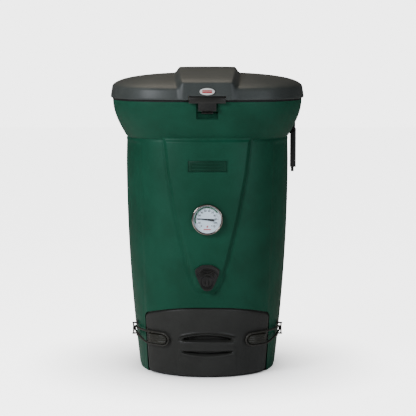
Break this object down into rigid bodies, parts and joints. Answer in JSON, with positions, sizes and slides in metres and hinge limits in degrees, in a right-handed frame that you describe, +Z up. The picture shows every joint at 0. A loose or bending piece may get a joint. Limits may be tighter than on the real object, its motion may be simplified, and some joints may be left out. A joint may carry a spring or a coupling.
{
  "type": "insulated composter",
  "caption": "Double-walled garden composter with a flared rim, hinged domed lid with latch, dial thermometer, air valve and an emptying hatch held by rubber loops.",
  "frame": {"origin": "middle of the flat underside of the base tray", "axes": "+Z up; the front, with latch, thermometer and hatch, faces -Y; +X is the right side seen from the front"},
  "size_m": [0.6828, 0.7681, 1.0751],
  "materials": {
    "green_shell": "rotomoulded polyethylene, slightly satin",
    "grey_lid": "rotomoulded polyethylene, fine grain",
    "black_plastic": "moulded, satin",
    "charcoal_hatch": "rotomoulded, satin",
    "black_rubber": "moulded rubber",
    "insulation": "rigid foam",
    "steel": "polished stainless steel",
    "dial_white": "printed dial",
    "badge_white": "moulded badge",
    "clear_lens": "clear"
  },
  "bodies": {
    "bin": {"outer_shell": "green_shell", "name_plate": "green_shell", "inner_liner": "green_shell", "wall_insulation": "insulation", "base_tray": "black_plastic", "floor_grate": "black_plastic", "rim_ring": "black_plastic", "rim_seal": "black_rubber", "hatch_frame": "black_plastic", "drain_spout": "black_plastic", "gauge_case": "steel", "gauge_bezel": "steel", "gauge_dial": "dial_white", "gauge_lens": "clear_lens", "gauge_probe": "steel", "gauge_nut": "steel", "valve_housing": "black_plastic", "air_duct": "black_plastic", "duct_grille": "black_plastic", "side_hook_left": "black_plastic", "side_hook_right": "black_plastic", "latch_keeper": "black_plastic", "hinge_bracket_left": "black_plastic", "hinge_bracket_right": "black_plastic", "hinge_pin_left": "steel", "hinge_pin_right": "steel", "stay_bracket": "black_plastic", "stay_bolt": "steel"},
    "lid": {"lid_cover": "grey_lid", "lid_liner": "black_plastic", "lid_insulation": "insulation", "lid_badge": "badge_white", "vent_grille": "black_plastic", "hinge_arm_left": "grey_lid", "hinge_arm_right": "grey_lid", "latch_pin": "steel"},
    "latch": {"latch_lever": "black_plastic"},
    "pointer": {"gauge_pointer": "black_plastic"},
    "air_control": {"valve_knob": "black_plastic"},
    "hatch": {"hatch_cover": "charcoal_hatch", "hatch_plug": "black_plastic", "hatch_seal": "black_rubber"},
    "loop_left": {"rubber_loop_left": "black_rubber"},
    "loop_right": {"rubber_loop_right": "black_rubber"},
    "stay": {"lid_stay": "black_plastic"},
    "cap": {"drain_cap": "black_plastic"}
  },
  "joints": [
    {"name": "lid_hinge", "type": "hinge", "parent": "bin", "child": "lid", "pos_m": [0, 0.386, 0.953], "axis": [-1, 0, 0], "range_deg": [0, 100]},
    {"name": "latch_pivot", "type": "hinge", "parent": "lid", "child": "latch", "pos_m": [0, -0.3605, 0.9765], "axis": [-1, 0, 0], "range_deg": [0, 70]},
    {"name": "pointer_spindle", "type": "hinge", "parent": "bin", "child": "pointer", "pos_m": [0, -0.32051, 0.5619], "axis": [0, 1, 0], "range_deg": [-50, 210]},
    {"name": "air_control_turn", "type": "hinge", "parent": "bin", "child": "air_control", "pos_m": [0, -0.30535, 0.348], "axis": [0, 1, 0], "range_deg": [0, 52]},
    {"name": "hatch_removal", "type": "slide", "parent": "bin", "child": "hatch", "axis": [0, -1, 0], "range_m": [0, 0.2], "deforming": ["rubber_loop_left", "rubber_loop_right"]},
    {"name": "loop_swing_left", "type": "hinge", "parent": "bin", "child": "loop_left", "pos_m": [-0.26384, -0.09903, 0.145], "axis": [0, 0, -1], "range_deg": [0, 100]},
    {"name": "loop_swing_right", "type": "hinge", "parent": "bin", "child": "loop_right", "pos_m": [0.26384, -0.09903, 0.145], "axis": [0, 0, 1], "range_deg": [0, 100]},
    {"name": "stay_swing", "type": "hinge", "parent": "bin", "child": "stay", "pos_m": [0.312, 0.095, 0.84], "axis": [0, -1, 0], "range_deg": [-5, 110]},
    {"name": "cap_removal", "type": "slide", "parent": "bin", "child": "cap", "axis": [0, 1, 0], "range_m": [0, 0.03]}
  ]
}
